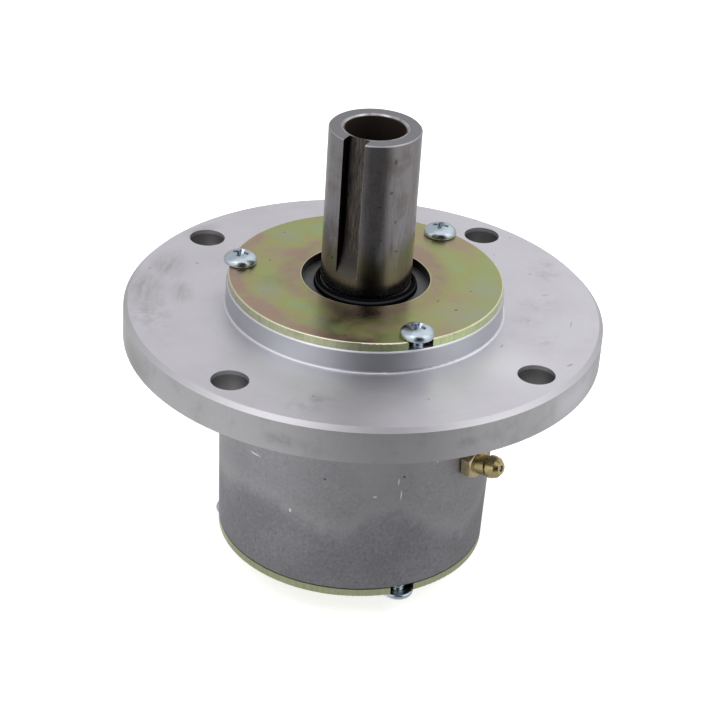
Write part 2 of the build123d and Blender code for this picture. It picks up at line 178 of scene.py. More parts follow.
# Each patch has a level, the middle and half width of its azimuth and how softly that ends, and
# the low end, the high end and the softness of its height: degrees up the dome, or millimetres
# out along the floor.
dome_patches = (
    (0.66, -140, 38, 34, -10, 60, 20),
    (0.80, 125, 20, 20, -10, 25, 15),
    (0.40, 180, 50, 30, -10, 3, 12),
    (2.00, -42, 14, 16, 46, 66, 12),
    (1.60, 70, 16, 16, 40, 60, 12),
    (0.02, 14, 24, 16, -10, 56, 16),
)
floor_card_patches = (
    (0.75, -75, 55, 25, 185, 1500, 15),
    (0.66, -155, 25, 30, 185, 1500, 15),
    (0.70, 150, 20, 30, 185, 1500, 15),
    (0.15, 10, 22, 18, 185, 1500, 15),
    (0.55, 55, 50, 40, 0, 130, 50),
    (1.12, -75, 40, 40, 60, 150, 30),
    (0.50, 0, 180, 1, 0, 52, 70),
    (0.72, -125, 30, 30, 0, 56, 16),
    (0.40, 130, 25, 30, 0, 56, 16),
)


def patch_share(value, low, high, soft):
    """1 from low to high, and 0 further off than soft, with a smooth run between."""
    away = max(low - value, value - high, 0.0)
    share = max(0.0, 1 - away / soft)
    return share * share * (3 - 2 * share)


def add_card(name, heights, reach, level, patches):
    """A round card that only glossy things mirror, made of rings, with the patches laid over its level."""
    form = bmesh.new()
    level_layer = form.verts.layers.float.new("level")
    rings = []
    for height in heights:
        distance, rise = reach(height)
        ring = []
        for azimuth in range(-180, 180, azimuth_step):
            angle = camera_azimuth + math.radians(azimuth - 90)
            point = form.verts.new((distance * math.cos(angle), distance * math.sin(angle), rise))
            brightness = level
            for patch_level, middle, half_width, side_soft, low, high, height_soft in patches:
                turn = abs((azimuth - middle + 180) % 360 - 180)
                share = patch_share(turn, 0, half_width, side_soft)
                share *= patch_share(height, low, high, height_soft)
                brightness += (patch_level - brightness) * share
            point[level_layer] = brightness
            ring.append(point)
        rings.append(ring)
    for ring, above in zip(rings, rings[1:]):
        for index in range(len(ring)):
            form.faces.new((ring[index - 1], ring[index], above[index], above[index - 1]))
    mesh = bpy.data.meshes.new(name)
    form.to_mesh(mesh)
    form.free()
    card = bpy.data.objects.new(name, mesh)
    card.location.z = cad_box[0][2] + card_lift
    card.visible_camera = False
    card.visible_diffuse = False
    card.visible_shadow = False
    card.visible_transmission = False
    bpy.context.collection.objects.link(card)
    finish = bpy.data.materials.new(name)
    finish.use_nodes = True
    finish.cycles.emission_sampling = "NONE"
    nodes, links = finish.node_tree.nodes, finish.node_tree.links
    nodes.remove(nodes["Principled BSDF"])
    glow = nodes.new("ShaderNodeEmission")
    brightness = nodes.new("ShaderNodeAttribute")
    brightness.attribute_name = "level"
    links.new(brightness.outputs["Fac"], glow.inputs["Strength"])
    links.new(glow.outputs[0], nodes["Material Output"].inputs["Surface"])
    mesh.materials.append(finish)


def up_the_dome(elevation):
    """How far out and how high the dome is at an elevation in degrees."""
    angle = math.radians(elevation)
    return dome_radius * math.cos(angle), dome_radius * math.sin(angle)


def along_the_floor(millimetres):
    """How far out and how high the floor's card is, in metres."""
    return millimetres / mm_per_metre, 0


add_card("mirrored_room", range(0, 90, elevation_step), up_the_dome, dome_level, dome_patches)
add_card("mirrored_floor", floor_card_reach, along_the_floor, floor_card_level, floor_card_patches)


# Spindle housing: one sand-cast aluminium piece. Its flange, boss and bores are turned bright,
# and the barrel and the flange's rim keep more of the grey, grainy skin of the casting.
flange_radius = 67.3
flange_chamfer = 1.2
flange_thickness = 10.3
boss_radius = 38.9
barrel_root_radius = 40.3
barrel_foot_radius = 38.9
barrel_marks_radius = 39.7
flange_top = 0.0
barrel_bottom = -70.8
smudge_depth = 2
scratch_depth = 1
wall_mark_depth = 2.5
turned_grey = (0.76, 0.745, 0.80, 1)
turned_dark = (0.60, 0.585, 0.62, 1)
painted_sheen_bright = (0.86, 0.85, 0.90, 1)
smudge_brown = (0.36, 0.345, 0.34, 1)
boss_grey = (0.485, 0.503, 0.53, 1)
edge_grey = (0.61, 0.60, 0.63, 1)
rim_grey = (0.50, 0.495, 0.515, 1)
rim_stain_and_shade_dark = (0.33, 0.325, 0.325, 1)
hole_grey = (0.30, 0.295, 0.30, 1)
cast_grey = (0.315, 0.31, 0.335, 1)
cast_dark = (0.275, 0.27, 0.29, 1)
cast_light = (0.52, 0.515, 0.53, 1)
sand_dark = (0.23, 0.225, 0.235, 1)
scratch_and_highlight_bright = (0.80, 0.79, 0.80, 1)
pit_dark = (0.07, 0.065, 0.06, 1)
edge_roughness = 0.42
rim_roughness = 0.50
barrel_roughness = 0.60
tool_grain = 0.006
sand_grain = 0.05


def flat_marks(height, depth, rows):
    """Marks on a level face, from rows of x, y, reach along and across, and turn."""
    return [(x, y, height, along, across, depth, turn) for x, y, along, across, turn in rows]


def round_marks(radius, rows):
    """Marks on an upright round wall, from rows of azimuth, height, and reach sideways and up."""
    marks = []
    for azimuth, height, sideways, up in rows:
        angle = math.radians(azimuth)
        place = (radius * math.cos(angle), radius * math.sin(angle), height)
        marks.append((*place, wall_mark_depth, sideways, up, azimuth))
    return marks


flange_smudges = flat_marks(flange_top, smudge_depth, (
    (-61, 11, 9, 18, 0), (-54, 24, 8, 13, -18), (-51, 8, 5, 9, 0), (-42, 46, 9, 4, 35),
))
flange_haze = flat_marks(flange_top, smudge_depth, (
    (-60, -4, 11, 17, 0), (50, -2, 9, 6, 20), (44, -12, 6, 4, 0), (47, -23, 7, 4, 30),
    (-20, -53, 14, 6, 20), (56, 18, 6, 12, 0),
))
# Two bright patches on the flange's top, at front left and front right, are a painted sheen.
flange_sheen_patches = flat_marks(flange_top, smudge_depth, ((35, -37, 17, 17, 0), (-29, -31, 9, 13, 40)))
flange_pits = flat_marks(flange_top, scratch_depth, (
    (-45.2, 25.1, 0.8, 0.5, 0), (-58.8, 22.3, 0.5, 0.5, 0), (50.8, 16.1, 0.6, 0.4, 0),
    (44.8, -11.1, 0.5, 0.5, 0), (51.3, -36.3, 1.6, 0.5, 35), (41.2, 51.3, 0.9, 0.4, 0),
    (49.4, 39.2, 0.5, 0.4, 0), (42.5, 28.3, 0.4, 0.4, 0), (34.6, -25.4, 1.2, 0.35, 60),
    (-20.0, -50.0, 0.5, 0.5, 0), (10.0, -52.5, 0.5, 0.4, 0), (56.5, -14.0, 2.2, 0.2, 70),
    (52.7, 3.3, 1.6, 0.3, 15),
))
flange_scratches = flat_marks(flange_top, scratch_depth, (
    (-42.0, -27.5, 6.0, 0.25, 38), (-36.5, -22.0, 4.0, 0.2, 30), (-47.0, -31.0, 3.0, 0.2, 52),
    (-30.0, -44.0, 3.5, 0.2, -20), (33.0, -47.0, 4.0, 0.2, 15), (12.0, 55.0, 5.0, 0.2, 5),
))
# Small bright marks at the bolt holes' edges are painted highlights.
hole_edge_highlights = (
    *flat_marks(-0.4, 1.2, ((46.0, 39.6, 1.3, 1.0, 20),)),
    *flat_marks(-0.3, 1.0, ((36.0, -42.0, 1.0, 1.6, 0),)),
    *flat_marks(flange_top, 0.6, ((-36.2, 39.6, 0.6, 1.0, 0),)),
)
rim_blotches = round_marks(flange_radius, ((-116, -6.5, 9, 3.0), (-74, -6.0, 5, 2.5), (-35, -3.0, 4, 1.6)))
# A dark patch on the rim's left is painted shade.
rim_shade = round_marks(flange_radius, ((-165, -8.0, 20, 8.0),))
# A bright patch on the rim at front right is a painted sheen.
rim_sheen = round_marks(flange_radius, ((-40, -6.0, 26, 9.0),))
# A paler patch on the front of the barrel is painted light.
barrel_front_light = round_marks(barrel_marks_radius, ((-90, -31.0, 13, 20),))
barrel_scratches = round_marks(barrel_marks_radius, (
    (-143, -34.1, 2.6, 0.35), (-80.7, -34.5, 0.25, 1.6), (-79.2, -39.0, 0.25, 2.4),
    (-124.5, -47.4, 0.5, 0.9), (-90, -39.0, 0.8, 0.4), (-138, -24.0, 1.6, 0.3), (-64, -30.0, 0.3, 1.2),
))
barrel_pits = round_marks(barrel_marks_radius, (
    (-110.3, -34.3, 0.55, 0.5), (-78.6, -33.0, 0.6, 0.5), (-131, -57.0, 0.4, 0.4),
    (25, -40.0, 0.6, 0.5), (150, -52.0, 0.6, 0.5),
))
# The casting's skin is paler down to a line that wanders round the barrel: azimuth and height.
pale_skin_foot = (
    (-180, -52.0), (-165, -50.0), (-146, -46.5), (-129, -46.5), (-116, -50.5), (-103, -53.0),
    (-95, -48.0), (-84, -44.0), (-74, -46.5), (-62, -54.0), (-45, -60.0), (0, -48.0), (60, -55.0),
    (120, -46.0), (180, -52.0),
)


class Finish:
    """A metal, rubber or plastic finish, made of a shader's nodes, with its sizes in millimetres."""

    def __init__(self, name, metallic=1.0, **fixed):
        self.material = bpy.data.materials.new(name)
        self.material.use_nodes = True
        self.nodes = self.material.node_tree.nodes
        self.links = self.material.node_tree.links
        self.shader = self.nodes["Principled BSDF"]
        self.shader.inputs["Metallic"].default_value = metallic
        for socket, value in fixed.items():
            self.shader.inputs[socket.replace("_", " ")].default_value = value
        scaled = self.nodes.new("ShaderNodeVectorMath")
        scaled.operation = "SCALE"
        scaled.inputs["Scale"].default_value = mm_per_metre
        self.links.new(self.nodes.new("ShaderNodeTexCoord").outputs["Object"], scaled.inputs[0])
        self.place = scaled.outputs[0]
        parts = self.nodes.new("ShaderNodeSeparateXYZ")
        self.links.new(self.place, parts.inputs[0])
        self.x, self.y, self.z = parts.outputs
        self.radius = self.calc("SQRT", self.total(
            self.calc("MULTIPLY", self.x, self.x), self.calc("MULTIPLY", self.y, self.y),
        ))

    def put(self, value, socket):
        """Links a socket, or writes a plain value, into another socket."""
        if isinstance(value, bpy.types.NodeSocket):
            self.links.new(value, socket)
        else:
            socket.default_value = value

    def calc(self, operation, *values):
        """The result of one sum on sockets and numbers."""
        node = self.nodes.new("ShaderNodeMath")
        node.operation = operation
        for value, socket in zip(values, node.inputs):
            self.put(value, socket)
        return node.outputs[0]

    def in_turn(self, operation, values):
        """The result of the same sum on all the values, one after another."""
        result = values[0]
        for value in values[1:]:
            result = self.calc(operation, result, value)
        return result

    def every(self, *shares):
        """The shares multiplied together: 1 only where all of them are 1."""
        return self.in_turn("MULTIPLY", shares)

    def either(self, *shares):
        """The largest of the shares: 1 where any of them is 1."""
        return self.in_turn("MAXIMUM", shares)

    def total(self, *values):
        """The values added together."""
        return self.in_turn("ADD", values)

    def span(self, value, low, high, start=0.0, end=1.0):
        """A value that runs smoothly from start to end as the given one runs from low to high."""
        node = self.nodes.new("ShaderNodeMapRange")
        node.interpolation_type = "SMOOTHSTEP"
        for number, socket in zip((value, low, high, start, end), node.inputs):
            self.put(number, socket)
        return node.outputs["Result"]

    def within(self, value, low, high, soft=0.05):
        """1 where the value lies between low and high, and 0 elsewhere, with soft edges."""
        above = self.span(value, low - soft, low + soft)
        below = self.span(value, high - soft, high + soft, 1.0, 0.0)
        return self.every(above, below)

    def towards(self, x, y):
        """How far out the place lies in the level direction (x, y)."""
        return self.total(self.calc("MULTIPLY", self.x, x), self.calc("MULTIPLY", self.y, y))

    def azimuth(self):
        """The bearing round the axis in degrees, from -180 to 180."""
        return self.calc("MULTIPLY", self.calc("ARCTAN2", self.y, self.x), 180 / math.pi)

    def stretched(self, along_x, along_y, along_z):
        """The place, scaled along each axis, for a grain that runs one way."""
        node = self.nodes.new("ShaderNodeVectorMath")
        node.operation = "MULTIPLY"
        self.links.new(self.place, node.inputs[0])
        node.inputs[1].default_value = (along_x, along_y, along_z)
        return node.outputs[0]

    def turned(self, per_turn, per_mm):
        """The place for marks of a lathe tool on a flat face: slow round the axis, fine across it."""
        round_x = self.calc("MULTIPLY", self.calc("DIVIDE", self.x, self.radius), per_turn)
        round_y = self.calc("MULTIPLY", self.calc("DIVIDE", self.y, self.radius), per_turn)
        node = self.nodes.new("ShaderNodeCombineXYZ")
        for value, socket in zip((round_x, round_y, self.calc("MULTIPLY", self.radius, per_mm)), node.inputs):
            self.put(value, socket)
        return node.outputs[0]

    def cloud(self, size, detail=2.0, rough=0.5, place=None):
        """Soft noise from 0 to 1, with blotches of about this size."""
        node = self.nodes.new("ShaderNodeTexNoise")
        self.links.new(place or self.place, node.inputs["Vector"])
        node.inputs["Scale"].default_value = 1 / size
        node.inputs["Detail"].default_value = detail
        node.inputs["Roughness"].default_value = rough
        return node.outputs["Fac"]

    def marks(self, rows, soft=0.7):
        """1 in the middle of each mark and 0 beyond its reach, from rows of place, three reaches and turn."""
        strongest = 0.0
        for x, y, z, along, across, down, turn in rows:
            patch = self.nodes.new("ShaderNodeMapping")
            patch.vector_type = "TEXTURE"
            self.links.new(self.place, patch.inputs["Vector"])
            patch.inputs["Location"].default_value = (x, y, z)
            patch.inputs["Rotation"].default_value = (0, 0, math.radians(turn))
            patch.inputs["Scale"].default_value = (along, across, down)
            length = self.nodes.new("ShaderNodeVectorMath")
            length.operation = "LENGTH"
            self.links.new(patch.outputs[0], length.inputs[0])
            mark = self.span(length.outputs["Value"], 1 - soft, 1.0, 1.0, 0.0)
            strongest = self.either(strongest, mark)
        return strongest

    def colour_run(self, value, stops):
        """The colour that runs evenly through the stops, each a place from 0 to 1 and a colour."""
        node = self.nodes.new("ShaderNodeValToRGB")
        self.put(value, node.inputs[0])
        elements = node.color_ramp.elements
        while len(elements) < len(stops):
            elements.new(0.5)
        for element, (place, colour) in zip(elements, stops):
            element.position = place
            element.color = colour
        return node.outputs[0]

    def number_run(self, value, stops):
        """The number that runs evenly through the stops, each a place and a number."""
        low, high = min(number for _, number in stops), max(number for _, number in stops)
        first, last = stops[0][0], stops[-1][0]
        greys = []
        for place, number in stops:
            share = (number - low) / (high - low)
            greys.append(((place - first) / (last - first), (share, share, share, 1)))
        along = self.calc("DIVIDE", self.calc("SUBTRACT", value, first), last - first)
        return self.total(self.calc("MULTIPLY", self.colour_run(along, greys), high - low), low)

    def colours(self, share, under, over):
        """The under colour where the share is 0, and the over colour where it is 1."""
        node = self.nodes.new("ShaderNodeMix")
        node.data_type = "RGBA"
        node.clamp_factor = True
        share_socket, under_socket, over_socket = node.inputs[0], node.inputs[6], node.inputs[7]
        self.put(share, share_socket)
        self.put(under, under_socket)
        self.put(over, over_socket)
        return node.outputs[2]

    def coats(self, colour, *coats):
        """A colour with coats laid over it in turn, each a share and the coat's own colour."""
        for share, over in coats:
            colour = self.colours(share, colour, over)
        return colour

    def dress(self, colour, roughness, height=None):
        """Gives the shader its colour, its roughness and the height of its surface in millimetres."""
        self.put(colour, self.shader.inputs["Base Color"])
        self.put(roughness, self.shader.inputs["Roughness"])
        if height is not None:
            bump = self.nodes.new("ShaderNodeBump")
            bump.inputs["Distance"].default_value = 1 / mm_per_metre
            self.links.new(height, bump.inputs["Height"])
            self.links.new(bump.outputs[0], self.shader.inputs["Normal"])
        return self.material


def wear(finish, *nodes):
    """Gives CAD nodes one finish."""
    for name in nodes:
        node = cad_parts[name]
        node.data.materials.clear()
        node.data.materials.append(finish)


casting = Finish("cast_aluminium")
tool_marks = casting.cloud(1.0, detail=2.0, rough=0.6, place=casting.turned(2.0, 2.4))
swirls = casting.cloud(1.0, detail=4.0, rough=0.65, place=casting.turned(10.0, 0.8))
handling = casting.cloud(16.0, detail=3.0, rough=0.55)
patchy = casting.cloud(3.5, detail=4.0, rough=0.65)
smudged = casting.every(casting.marks(flange_smudges, soft=1.0), casting.span(swirls, 0.32, 0.68, 0.22, 0.58))
hazed = casting.every(casting.marks(flange_haze, soft=1.0), casting.span(patchy, 0.40, 0.70, 0.0, 0.40))
scratched = casting.every(casting.marks(flange_scratches), 0.5)
on_boss = casting.every(
    casting.within(casting.radius, boss_radius - 0.15, boss_radius + 0.15, 0.1),
    casting.span(casting.z, 0.3, 0.7),
)
turned_colour = casting.coats(
    turned_grey,
    (casting.span(handling, 0.40, 0.70, 0.0, 0.30), turned_dark),
    (casting.every(tool_marks, 0.22), turned_dark),
    # Painted sheen on the flange's top.
    (casting.every(casting.marks(flange_sheen_patches, soft=1.0), 0.8), painted_sheen_bright),
    (smudged, smudge_brown),
    (hazed, smudge_brown),
    (casting.every(casting.marks(flange_pits), 0.45), pit_dark),
    # Real scratches, and painted highlights at the bolt holes' edges.
    (casting.either(scratched, casting.marks(hole_edge_highlights)), scratch_and_highlight_bright),
    (on_boss, boss_grey),
)

rim_streaks = casting.cloud(1.0, detail=2.0, rough=0.6, place=casting.stretched(1.6, 1.6, 0.25))
rim_stain = casting.either(
    casting.span(casting.cloud(9.0, detail=3.0, rough=0.6), 0.48, 0.78, 0.0, 0.7),
    casting.marks(rim_blotches, soft=1.0),
)
in_hole = casting.every(
    casting.span(casting.radius, flange_radius - 1.6, flange_radius - 1.4, 1.0, 0.0),
    casting.span(casting.z, -0.4, -0.2, 1.0, 0.0),
)
rim_colour = casting.coats(
    rim_grey,
    (casting.every(rim_stain, casting.span(patchy, 0.35, 0.65, 0.3, 1.0)), rim_stain_and_shade_dark),
    (casting.every(rim_streaks, 0.25), rim_stain_and_shade_dark),
    # Painted sheen on the rim.
    (casting.every(casting.marks(rim_sheen, soft=1.0), 0.55), turned_grey),
    # Painted shade on the rim's left; the same dark grey also serves the rim's real stains and streaks.
    (casting.every(casting.marks(rim_shade, soft=1.0), 0.75), rim_stain_and_shade_dark),
    (in_hole, hole_grey),
)
nicks = casting.cloud(2.2, detail=4.0, rough=0.65)
edge_colour = casting.colours(casting.span(nicks, 0.40, 0.70, 0.0, 0.75), edge_grey, turned_dark)

sand = casting.cloud(1.0, detail=5.0, rough=0.75)
skin = casting.cloud(14.0, detail=4.0, rough=0.6)
sparkle = casting.cloud(1.0, detail=2.0, rough=0.6, place=casting.stretched(1.1, 1.1, 0.7))
glints = casting.span(sparkle, 0.66, 0.76)
ragged = casting.total(casting.z, casting.span(patchy, 0.3, 0.7, -1.0, 1.0))
over_foot = casting.calc("SUBTRACT", ragged, casting.number_run(casting.azimuth(), pale_skin_foot))
# Paler skin: below the wandering line it is the casting's own, while the band just under the flange and the
# patch on the barrel's front are painted light.
pale_skin_and_light = casting.total(
    casting.span(over_foot, -4.0, 3.0, 0.0, 0.26),
    casting.every(casting.within(over_foot, -1.0, 4.0, 3.5), 0.14),
    casting.span(casting.z, -36.0, -14.0, 0.0, 0.22),
    casting.every(casting.marks(barrel_front_light, soft=1.0), 0.28),
)
cast_colour = casting.coats(
    cast_dark,
    (casting.span(skin, 0.35, 0.65), cast_grey),
    (casting.span(sand, 0.50, 0.70, 0.0, 0.32), cast_light),
    (casting.span(sand, 0.32, 0.50, 0.9, 0.0), sand_dark),
    (pale_skin_and_light, cast_light),
    (casting.every(glints, casting.span(patchy, 0.50, 0.70), 0.15), cast_light),
    (casting.marks(barrel_scratches), scratch_and_highlight_bright),
    (casting.every(casting.marks(barrel_pits), 0.8), pit_dark),
)

flat_radius = flange_radius - flange_chamfer
on_top = casting.span(casting.z, -flange_chamfer - 0.1, -flange_chamfer + 0.1)
on_edge = casting.every(on_top, casting.span(casting.radius, flat_radius - 0.15, flat_radius + 0.15))
on_barrel = casting.every(
    casting.within(casting.z, barrel_bottom + 0.2, -flange_thickness - 0.1, 0.15),
    casting.within(casting.radius, barrel_foot_radius - 0.9, barrel_root_radius + 2.1, 0.3),
)
housing_colour = casting.coats(
    rim_colour, (on_top, turned_colour), (on_edge, edge_colour), (on_barrel, cast_colour),
)
turned_rough = casting.total(casting.span(tool_marks, 0.2, 0.8, 0.40, 0.46), casting.every(smudged, 0.1))
housing_rough = casting.either(
    casting.calc("SUBTRACT", turned_rough, casting.every(on_boss, 0.07)),
    casting.every(on_edge, edge_roughness),
    casting.span(on_top, 0.0, 1.0, rim_roughness, 0.0),
    casting.every(on_barrel, barrel_roughness),
)
housing_height = casting.total(
    casting.every(tool_marks, tool_grain), casting.every(sand, on_barrel, sand_grain),
)
wear(casting.dress(housing_colour, housing_rough, housing_height), "spindle_housing")


# Ball bearings, one at each end and both alike. The rings and balls are hardened steel, ground
# and lapped, and the cage is moulded in nylon and snaps over the balls.
lapped_dark = (0.60, 0.60, 0.62, 1)
lapped_bright = (0.66, 0.66, 0.68, 1)
nylon_dark = (0.66, 0.61, 0.48, 1)
nylon_pale = (0.74, 0.70, 0.58, 1)
nylon_roughness = 0.5
nylon_grain = 0.01

lapped = Finish("bearing_steel")
lapping = lapped.cloud(1.0, detail=2.0, rough=0.5, place=lapped.stretched(0.3, 0.3, 5.0))
lapped_colour = lapped.colours(lapping, lapped_dark, lapped_bright)
lapped_finish = lapped.dress(lapped_colour, lapped.span(lapping, 0.2, 0.8, 0.10, 0.18))
moulded = Finish("cage_nylon", metallic=0.0)
mottle = moulded.cloud(0.8, detail=3.0, rough=0.5)
moulded_colour = moulded.colours(mottle, nylon_dark, nylon_pale)
moulded_finish = moulded.dress(moulded_colour, nylon_roughness, moulded.calc("MULTIPLY", mottle, nylon_grain))
for end in ("upper", "lower"):
    wear(lapped_finish, f"{end}_bearing_outer_ring", f"{end}_bearing_inner_ring", f"{end}_bearing_balls")
    wear(moulded_finish, f"{end}_bearing_cage")


# Bearing spacer, retaining rings and grease check: a turned sleeve, circlips of dark oiled spring
# steel, and the ball and spring of the same steel that close the grease fitting's mouth.
sleeve_dark = (0.40, 0.40, 0.42, 1)
sleeve_bright = (0.50, 0.50, 0.52, 1)
spring_dark = (0.20, 0.20, 0.21, 1)
spring_bright = (0.32, 0.32, 0.33, 1)
sleeve_grain = 0.004
spring_grain = 0.003
oiled_roughness = 0.35

sleeve = Finish("sleeve_steel")
sleeve_marks = sleeve.cloud(1.0, detail=2.0, rough=0.6, place=sleeve.stretched(0.2, 0.2, 4.0))
sleeve_colour = sleeve.colours(sleeve_marks, sleeve_dark, sleeve_bright)
sleeve_height = sleeve.calc("MULTIPLY", sleeve_marks, sleeve_grain)
wear(sleeve.dress(sleeve_colour, oiled_roughness, sleeve_height), "bearing_spacer")
spring = Finish("spring_steel")
spring_blotches = spring.cloud(1.2, detail=3.0, rough=0.6)
spring_colour = spring.colours(spring_blotches, spring_dark, spring_bright)
spring_height = spring.calc("MULTIPLY", spring_blotches, spring_grain)
spring_finish = spring.dress(spring_colour, oiled_roughness, spring_height)
wear(spring_finish, "upper_retaining_ring", "lower_retaining_ring")
wear(spring_finish, "grease_check_spring", "grease_check_ball")


# Spindle shaft: a steel tube, ground to size and wiped with oil. Handling has left dark specks
# on it, and the cutter left a streaky, rust-brown floor and a burr along the keyway.
shaft_radius = 12.7
shaft_bore_radius = 8.33
shaft_middle = -14.425
shaft_half_length = 68.275
keyway_direction = math.radians(-125.5)
keyway_half_width = 3.175
keyway_bottom = 13.48
runout_bend = 0.0585
shaft_grey = (0.235, 0.227, 0.235, 1)
shaft_stain_and_shade_brown = (0.150, 0.125, 0.115, 1)
lip_reflection_dark = (0.085, 0.072, 0.064, 1)
speck_and_reflection_dark = (0.03, 0.028, 0.03, 1)
end_grey = (0.26, 0.257, 0.285, 1)
bevel_highlight = (0.52, 0.51, 0.52, 1)
bore_shade_brown = (0.075, 0.058, 0.05, 1)
keyway_grey = (0.075, 0.069, 0.065, 1)
keyway_brown = (0.175, 0.145, 0.125, 1)
keyway_black = (0.012, 0.010, 0.010, 1)
runout_shade = (0.040, 0.037, 0.035, 1)
runout_olive = (0.060, 0.056, 0.046, 1)
burr_bright = (0.42, 0.38, 0.34, 1)
shaft_specks = round_marks(shaft_radius, (
    (-93, 46.5, 0.5, 0.4), (-74, 40.0, 0.9, 0.7), (-66, 31.0, 0.5, 0.9), (-84, 26.0, 0.6, 0.5),
    (-62, 22.0, 0.8, 0.5), (-88, 36.0, 1.0, 0.4), (-71, 49.0, 0.8, 1.3), (-140, 30.0, 0.5, 0.6),
    (-148, 18.0, 0.7, 0.5),
))
# A dark band down the front of the shaft is a painted reflection.
shaft_front_reflection = round_marks(shaft_radius, ((-93, 12, 5.5, 17),))
# A brown band down the shaft's right side is painted shade.
shaft_right_shade = round_marks(shaft_radius, ((-24, 30, 6, 45),))
# A dark patch on the shaft beside the foot of the keyway is a painted reflection of the seal's black lip.
keyway_lip_reflection = round_marks(shaft_radius, ((-130, 13, 9, 10),))

ground = Finish("ground_shaft_steel")
stains = ground.cloud(7.0, detail=3.0, rough=0.6)
specks = ground.cloud(1.3, detail=2.0, rough=0.5)
shaft_streaks = ground.cloud(1.0, detail=3.0, rough=0.6, place=ground.stretched(1.3, 1.3, 0.12))
bevel_highlight_breaks = ground.cloud(3.0, detail=2.0, rough=0.5)
from_middle = ground.calc("ABSOLUTE", ground.calc("SUBTRACT", ground.z, shaft_middle))
on_end = ground.span(from_middle, shaft_half_length - 0.35, shaft_half_length - 0.2)
on_corner = ground.every(on_end, ground.span(ground.radius, shaft_radius - 0.45, shaft_radius - 0.25))
on_bevel = ground.within(ground.radius, shaft_bore_radius + 0.12, shaft_bore_radius + 0.95, 0.06)
in_bore = ground.span(ground.radius, shaft_bore_radius + 0.1, shaft_bore_radius + 0.25, 1.0, 0.0)
plain_colour = ground.coats(
    shaft_grey,
    (ground.span(stains, 0.48, 0.78, 0.0, 0.8), shaft_stain_and_shade_brown),
    (ground.span(specks, 0.74, 0.78), speck_and_reflection_dark),
    (ground.every(ground.marks(shaft_specks, soft=1.0), 0.75), speck_and_reflection_dark),
    # Painted reflection down the shaft's front; the same dark colour serves the real specks.
    (ground.every(ground.marks(shaft_front_reflection, soft=1.0), 0.85), speck_and_reflection_dark),
    # Painted reflection of the seal's lip.
    (ground.every(ground.marks(keyway_lip_reflection, soft=1.0), 0.6), lip_reflection_dark),
    # Painted shade on the shaft's right side; the same brown serves the real stains and streaks.
    (ground.every(ground.marks(shaft_right_shade, soft=1.0), 0.60), shaft_stain_and_shade_brown),
    (ground.span(shaft_streaks, 0.45, 0.75, 0.0, 0.55), shaft_stain_and_shade_brown),
    (on_end, end_grey),
    # Painted highlights on the bevel into the bore and on the end's outer corner.
    (ground.every(on_bevel, ground.span(bevel_highlight_breaks, 0.35, 0.62, 0.15, 1.0)), bevel_highlight),
    (ground.every(on_corner, 0.6), bevel_highlight),
    # Painted shade inside the bore.
    (in_bore, bore_shade_brown),
)

along_keyway = ground.towards(math.cos(keyway_direction), math.sin(keyway_direction))
across_keyway = ground.towards(-math.sin(keyway_direction), math.cos(keyway_direction))
outside_bore = ground.span(along_keyway, shaft_bore_radius + 0.4, shaft_bore_radius + 0.5)
runout_curve = ground.calc("MULTIPLY", ground.calc("MULTIPLY", across_keyway, across_keyway), runout_bend)
over_runout = ground.calc("SUBTRACT", ground.z, runout_curve)
in_keyway = ground.every(
    ground.within(across_keyway, -keyway_half_width - 0.03, keyway_half_width + 0.03, 0.02),
    outside_bore,
    ground.span(over_runout, keyway_bottom, keyway_bottom + 0.06),
)
keyway_streaks = ground.cloud(1.0, detail=3.0, rough=0.6, place=ground.stretched(2.2, 2.2, 0.14))
fine_streaks = ground.cloud(1.0, detail=3.0, rough=0.7, place=ground.stretched(5.0, 5.0, 0.35))
keyway_shade = ground.span(across_keyway, -keyway_half_width + 0.05, -keyway_half_width + 0.9, 0.95, 0.0)
keyway_colour = ground.coats(
    keyway_grey,
    (ground.span(keyway_streaks, 0.40, 0.72), keyway_brown),
    (ground.span(fine_streaks, 0.52, 0.62, 0.0, 0.75), keyway_black),
    (keyway_shade, keyway_black),
    # The lower end of the keyway is painted dark, and olive at its foot: painted shade.
    (ground.span(ground.z, keyway_bottom + 4, keyway_bottom + 13, 0.9, 0.0), runout_shade),
    (ground.span(ground.z, keyway_bottom + 1.0, keyway_bottom + 3.5, 1.0, 0.0), runout_olive),
)
burr_breaks = ground.cloud(1.0, detail=2.0, rough=0.6, place=ground.stretched(0.5, 0.5, 0.3))
on_burr = ground.every(
    ground.within(across_keyway, keyway_half_width - 0.12, keyway_half_width + 0.10, 0.05),
    outside_bore,
    ground.span(ground.z, keyway_bottom - 3.5, keyway_bottom + 8.0, 0.25, 1.0),
    ground.span(burr_breaks, 0.35, 0.60, 0.2, 1.0),
)
shaft_colour = ground.coats(plain_colour, (in_keyway, keyway_colour), (on_burr, burr_bright))
matt = ground.either(in_keyway, ground.calc("SUBTRACT", on_end, on_bevel))
shaft_rough = ground.either(
    ground.span(stains, 0.3, 0.7, 0.23, 0.30), ground.every(matt, 0.42), ground.every(in_bore, 0.7),
)
wear(ground.dress(shaft_colour, shaft_rough), "spindle_shaft")


# Shaft seals, both alike: a grey case of pressed steel, pressed into the housing, with a black
# rubber lip bonded inside it. A fine garter spring hugs the lip round the shaft.
lip_crest_radius = 14.1
pressed_dark = (0.10, 0.10, 0.10, 1)
pressed_pale = (0.19, 0.19, 0.195, 1)
rubber_black = (0.0008, 0.0008, 0.001, 1)
rubber_grey = (0.002, 0.002, 0.0025, 1)
crest_highlight = (0.022, 0.022, 0.025, 1)
case_roughness = 0.45
rubber_roughness = 0.42
seal_grain = 0.01

